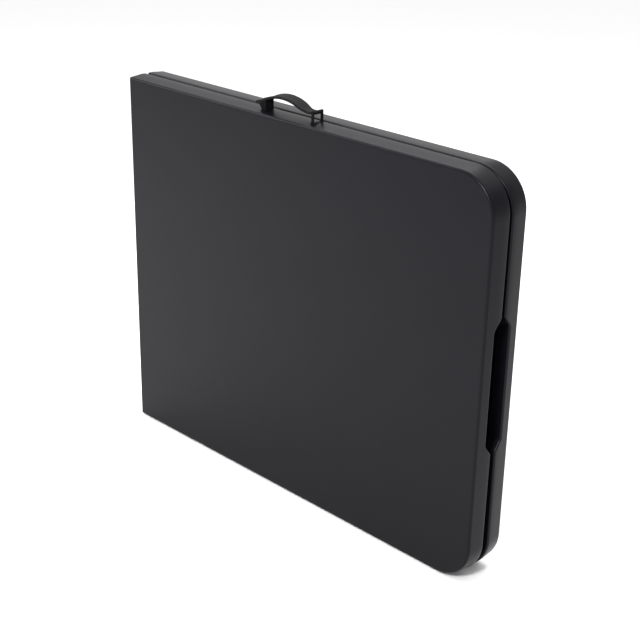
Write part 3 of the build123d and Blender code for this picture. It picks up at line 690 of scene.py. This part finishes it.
def strap_mesh():
    """The strap swept along its path, leaning at its crest and narrowing to its eye."""
    bm = bmesh.new()
    path = strap_path()
    section = strap_section()
    rings = []
    for k, point in enumerate(path):
        before, after = path[max(0, k - 1)], path[min(len(path) - 1, k + 1)]
        along = (after - before).normalized()
        up = Vector((-along.y, along.x))
        crest = max(0.0, 1 - ((point.x - STRAP_PEAK[0]) / CREST_HALF_LENGTH) ** 2)
        narrowing = smooth_step((point.x - STRAP_TAPER_X[0]) / (STRAP_TAPER_X[1] - STRAP_TAPER_X[0]))
        squeeze = narrowing * (STRAP_HALF_WIDTH - STRAP_END_HALF_WIDTH)
        ring = []
        for across, lift in section:
            if abs(across) > STRAP_END_HALF_WIDTH / 2:
                across -= math.copysign(squeeze, across)
            lean = STRAP_LEAN * crest * (STRAP_HALF_WIDTH - across) / (2 * STRAP_HALF_WIDTH)
            place = point + up * lift
            ring.append(bm.verts.new((place.x, STRAP_Y + across, place.y - lean)))
        rings.append(ring)
    count = len(section)
    for here, after in zip(rings, rings[1:]):
        for k in range(count):
            bm.faces.new((here[k], here[(k + 1) % count], after[(k + 1) % count], after[k]))
    bm.faces.new(rings[0])
    bm.faces.new(rings[-1])
    return make_object("carry_strap", bm)


def cross_cylinder(name, centre, radius, length, segments, edge=0.0):
    """A cylinder along Y, with its end edges rounded."""
    bm = bmesh.new()
    bmesh.ops.create_cone(
        bm, cap_ends=True, segments=segments, radius1=radius, radius2=radius, depth=length
    )
    if edge:
        rims = [e for e in bm.edges if abs(e.verts[0].co.z - e.verts[1].co.z) < 0.01 * MM]
        bmesh.ops.bevel(bm, geom=rims, offset=edge, segments=BEVEL_STEPS, profile=0.5, affect="EDGES")
    turn = Vector((0, 1, 0)).to_track_quat("Z", "Y").to_matrix()
    bmesh.ops.rotate(bm, matrix=turn, verts=bm.verts)
    bmesh.ops.translate(bm, vec=centre, verts=bm.verts)
    return make_object(name, bm)


def prism(name, profile, low_y, high_y, edge):
    """An (x, z) outline extruded through Y, with its edges rounded."""
    bm = bmesh.new()
    near = [bm.verts.new((x, low_y, z)) for x, z in profile]
    far = [bm.verts.new((x, high_y, z)) for x, z in profile]
    count = len(profile)
    bm.faces.new(near)
    bm.faces.new(far)
    for k in range(count):
        bm.faces.new((near[k], near[(k + 1) % count], far[(k + 1) % count], far[k]))
    bmesh.ops.recalc_face_normals(bm, faces=bm.faces)
    bmesh.ops.bevel(bm, geom=list(bm.edges), offset=edge, segments=BEVEL_STEPS, profile=0.5, affect="EDGES")
    return make_object(name, bm)


def join(name, pieces):
    """One new object with the meshes of all the pieces, which are removed."""
    bm = bmesh.new()
    for piece in pieces:
        bm.from_mesh(piece.data)
        bpy.data.objects.remove(piece)
    return make_object(name, bm)


def finish_handle_piece(piece, slot, node):
    """Shades and paints a piece of the handle and puts it in its CAD node's place."""
    shade(piece)
    paint(piece, slot)
    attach(piece, "front_leaf")
    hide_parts(node)


def mount_foot(name, base_x):
    """The flat foot that a fitting of the strap has in its seat on the rim."""
    low_x, high_x = base_x
    outline = [
        (low_x, SEAT_Z),
        (high_x, SEAT_Z),
        (high_x, SEAT_Z + MOUNT_BASE),
        (low_x, SEAT_Z + MOUNT_BASE),
    ]
    half = MOUNT_WIDTH / 2
    return prism(name, outline, STRAP_Y - half, STRAP_Y + half, MOUNT_EDGE)


def build_strap():
    """The carry strap with the eye for the staple's bar."""
    strap = strap_mesh()
    eye = cross_cylinder("eye", EYE_CENTRE, EYE_RADIUS, 2 * STRAP_END_HALF_WIDTH, EYE_SEGMENTS, EYE_EDGE)
    cut(strap, [eye], "UNION")
    turn = Matrix.Rotation(math.pi / 2, 3, "X")
    cut(strap, [cylinder_cutter(EYE_CENTRE, BAR_RADIUS + BAR_CLEARANCE, EYE_CUT_LENGTH, turn)])
    finish_handle_piece(strap, "handle_strap", "handle_strap")


def build_wedge():
    """The wedge under the strap's fixed end, its top following the strap's underside."""
    path = strap_path()
    under = []
    for before, point, after in zip(path, path[1:], path[2:]):
        along = (after - before).normalized()
        spot = point - Vector((-along.y, along.x)) * (STRAP_HALF_THICKNESS + WEDGE_CLEARANCE)
        if WEDGE_TIP_X < spot.x < WEDGE_BASE_X[1] - WEDGE_END_INSET:
            under.append((spot.x, spot.y))
    outline = [
        (WEDGE_BASE_X[0], SEAT_Z + MOUNT_BASE),
        (WEDGE_BASE_X[1], SEAT_Z + MOUNT_BASE),
        (WEDGE_BASE_X[1], under[-1][1]),
    ]
    outline += reversed(under)
    body = prism("wedge_body", outline, STRAP_Y - WEDGE_HALF_WIDTH, STRAP_Y + WEDGE_HALF_WIDTH, WEDGE_EDGE)
    foot = mount_foot("wedge_foot", WEDGE_BASE_X)
    finish_handle_piece(join("handle_wedge_mount", [body, foot]), "handle_fittings", "handle_wedge")


def build_staple():
    """The staple: a foot, two round-topped posts and the bar through the strap's eye."""
    parts = [mount_foot("staple_foot", STAPLE_BASE_X)]
    low_x, high_x = STAPLE_POST_X
    middle, reach = (low_x + high_x) / 2, (high_x - low_x) / 2
    post = [(low_x, SEAT_Z + STAPLE_POST_SINK), (high_x, SEAT_Z + STAPLE_POST_SINK)]
    for angle in spread(0, math.pi, STAPLE_ARC_STEPS):
        post.append((middle + reach * math.cos(angle), STAPLE_TOP_Z - reach + reach * math.sin(angle)))
    for side in (-1, 1):
        outer = STRAP_Y + side * MOUNT_WIDTH / 2
        inner = outer - side * STAPLE_POST
        parts.append(prism("staple_post", post, min(inner, outer), max(inner, outer), STAPLE_POST_EDGE))
    parts.append(cross_cylinder("staple_bar", EYE_CENTRE, BAR_RADIUS, STAPLE_BAR_LENGTH, BAR_SEGMENTS))
    finish_handle_piece(join("handle_staple_mount", parts), "handle_fittings", "handle_staple")


paint_cad_nodes()
build_panels()
build_strap()
build_wedge()
build_staple()

# ---------------------------------------------------------------- floor, light and camera
CAMERA_AZIMUTH = math.radians(44.32)
CAMERA_ELEVATION = math.radians(23.14)
CAMERA_ROLL = math.radians(1.213)
CAMERA_DISTANCE = 2.470
CAMERA_LENS = 73.99
AIM_OFFSET = Vector((0.0257, 0.0171, -0.0160))

# Name, place, point aimed at, size and power in watts
AREA_LIGHTS = (
    ("overhead", (-0.8, 0.7, 2.6), (0, 0, 0.4), (2.0, 2.0), 42),
    ("back_left", (-2.2, 2.3, 1.5), (0, 0, 0.5), (2.0, 1.6), 5),
    ("left_front", (-1.7, -1.1, 1.9), (-0.3, 0, 0.6), (1.3, 1.3), 26),
    ("right_front", (0.9, -1.9, 1.9), (0.4, 0, 0.6), (0.35, 0.35), 55),
    ("left_floor", (-2.2, -1.7, 1.4), (-2.2, -1.7, 0), (1.2, 1.2), 24),
)
SKY_TOWARD = (0.1, 0.35, 1.0)
SKY_STRENGTH = 1.3
SKY_SPREAD = math.radians(70)
WORLD_STRENGTH = 0.6
FLOOR_GREY = 0.95


def add_camera():
    data = bpy.data.cameras.new("camera")
    data.lens = CAMERA_LENS
    data.sensor_width = 36
    camera = bpy.data.objects.new("camera", data)
    bpy.context.scene.collection.objects.link(camera)
    away = Vector((
        math.sin(CAMERA_AZIMUTH) * math.cos(CAMERA_ELEVATION),
        -math.cos(CAMERA_AZIMUTH) * math.cos(CAMERA_ELEVATION),
        math.sin(CAMERA_ELEVATION),
    ))
    aim = Vector((0, 0, MID_Z)) + AIM_OFFSET
    camera.location = aim + away * CAMERA_DISTANCE
    facing = (-away).to_track_quat("-Z", "Y")
    camera.rotation_mode = "QUATERNION"
    camera.rotation_quaternion = facing @ Quaternion((0, 0, 1), CAMERA_ROLL)
    bpy.context.scene.camera = camera


def add_area_light(name, place, aim, size, power):
    data = bpy.data.lights.new(name, "AREA")
    data.shape = "RECTANGLE"
    data.size, data.size_y = size
    data.energy = power
    light = bpy.data.objects.new(name, data)
    light.location = place
    light.rotation_mode = "QUATERNION"
    light.rotation_quaternion = (Vector(aim) - Vector(place)).to_track_quat("-Z", "Y")
    bpy.context.scene.collection.objects.link(light)


def add_sky_light():
    """A broad, soft light from nearly straight above that reaches the whole floor."""
    data = bpy.data.lights.new("sky", "SUN")
    data.energy = SKY_STRENGTH
    data.angle = SKY_SPREAD
    light = bpy.data.objects.new("sky", data)
    light.rotation_mode = "QUATERNION"
    light.rotation_quaternion = Vector(SKY_TOWARD).to_track_quat("Z", "Y")
    bpy.context.scene.collection.objects.link(light)


def add_floor():
    bm = bmesh.new()
    bmesh.ops.create_grid(bm, x_segments=1, y_segments=1, size=30)
    floor = make_object("studio_floor", bm)
    material, _, _, shader = new_material("studio_floor")
    shader.inputs["Base Color"].default_value = (FLOOR_GREY, FLOOR_GREY, FLOOR_GREY, 1)
    shader.inputs["Roughness"].default_value = 0.9
    floor.data.materials.append(material)
    floor.location.z = cad_low[2]


def add_world():
    world = bpy.data.worlds.new("studio")
    world.use_nodes = True
    background = world.node_tree.nodes["Background"]
    background.inputs["Color"].default_value = (1, 1, 1, 1)
    background.inputs["Strength"].default_value = WORLD_STRENGTH
    bpy.context.scene.world = world


add_floor()
add_world()
for light_settings in AREA_LIGHTS:
    add_area_light(*light_settings)
add_sky_light()
add_camera()
bpy.context.scene.view_settings.view_transform = "Standard"
